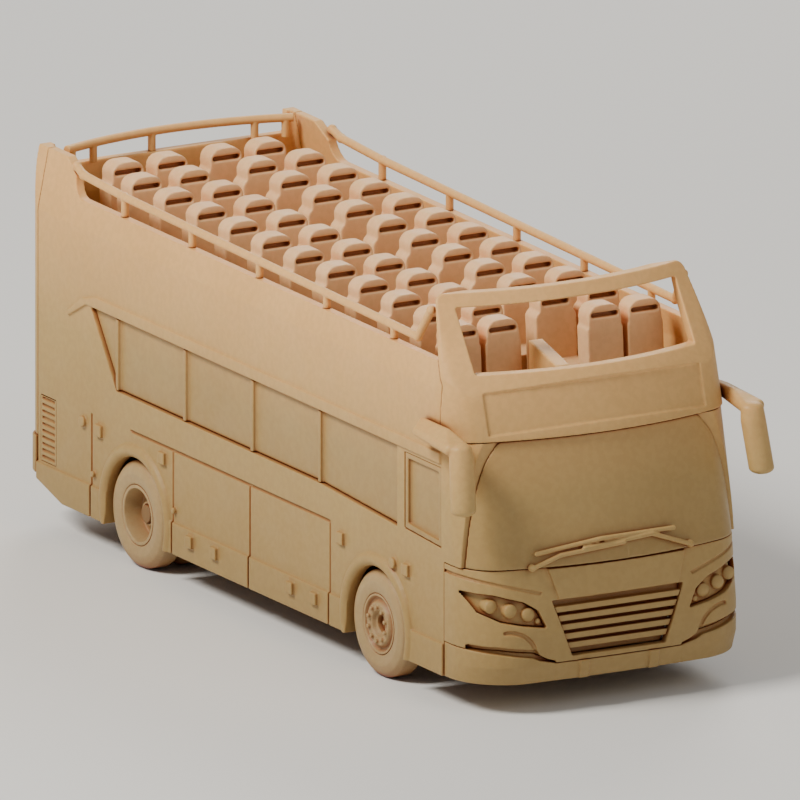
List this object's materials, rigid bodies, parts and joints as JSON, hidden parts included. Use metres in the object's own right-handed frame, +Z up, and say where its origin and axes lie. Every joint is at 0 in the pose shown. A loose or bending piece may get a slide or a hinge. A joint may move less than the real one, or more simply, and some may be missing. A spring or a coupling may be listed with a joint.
{
  "type": "open-top double-decker bus model",
  "caption": "Display model of an open-top double-decker sightseeing bus, with rows of seats, guard rails, mirrors and free-rolling wheels.",
  "frame": {"origin": "on the ground under the middle of the bus", "axes": "+Z up, +Y towards the rear, so the front faces -Y; +X is the bus's left-hand side"},
  "size_m": [0.0592, 0.151, 0.0664],
  "materials": {
    "body": "cast resin, satin",
    "windows": "cast resin, smooth",
    "trim": "cast resin, with darker recesses",
    "seats": "cast resin, satin",
    "wheels": "cast resin, satin",
    "chassis": "cast resin, plain"
  },
  "bodies": {
    "root": {"chassis": "chassis", "front_axle": "chassis", "rear_axle": "chassis", "side_panel_right": "body", "side_panel_left": "body", "side_windows_right": "windows", "side_windows_left": "windows", "driver_window": "windows", "entrance_door": "body", "side_vents": "trim", "front_fascia": "body", "front_bumper": "body", "grille": "trim", "headlamps": "trim", "windscreen": "windows", "wipers": "trim", "upper_front_panel": "body", "rear_panel": "body", "engine_cover": "trim", "rear_bumper": "body", "tail_lamps": "trim", "upper_deck": "body", "stair_guard": "body", "guard_rail_right": "body", "guard_rail_left": "body", "guard_rail_rear": "body", "mirror_right": "trim", "mirror_left": "trim", "seat_row_1": "seats", "seat_row_2": "seats", "seat_row_3": "seats", "seat_row_4": "seats", "seat_row_5": "seats", "seat_row_6": "seats", "seat_row_7": "seats", "seat_row_8": "seats", "seat_row_9": "seats", "seat_row_10": "seats", "seat_row_11": "seats", "seat_row_12": "seats"},
    "wheel_front_right": {"tyre_front_right": "wheels", "hub_front_right": "wheels"},
    "wheel_front_left": {"tyre_front_left": "wheels", "hub_front_left": "wheels"},
    "wheel_rear_right": {"tyre_rear_right": "wheels", "hub_rear_right": "wheels"},
    "wheel_rear_left": {"tyre_rear_left": "wheels", "hub_rear_left": "wheels"}
  },
  "joints": [
    {"name": "wheel_front_right_spin", "type": "hinge", "parent": "root", "child": "wheel_front_right", "pos_m": [-0.022, -0.0402, 0.0088], "axis": [1, 0, 0], "continuous": true},
    {"name": "wheel_front_left_spin", "type": "hinge", "parent": "root", "child": "wheel_front_left", "pos_m": [0.022, -0.0402, 0.0088], "axis": [1, 0, 0], "continuous": true},
    {"name": "wheel_rear_right_spin", "type": "hinge", "parent": "root", "child": "wheel_rear_right", "pos_m": [-0.022, 0.0384, 0.0088], "axis": [1, 0, 0], "continuous": true},
    {"name": "wheel_rear_left_spin", "type": "hinge", "parent": "root", "child": "wheel_rear_left", "pos_m": [0.022, 0.0384, 0.0088], "axis": [1, 0, 0], "continuous": true}
  ]
}
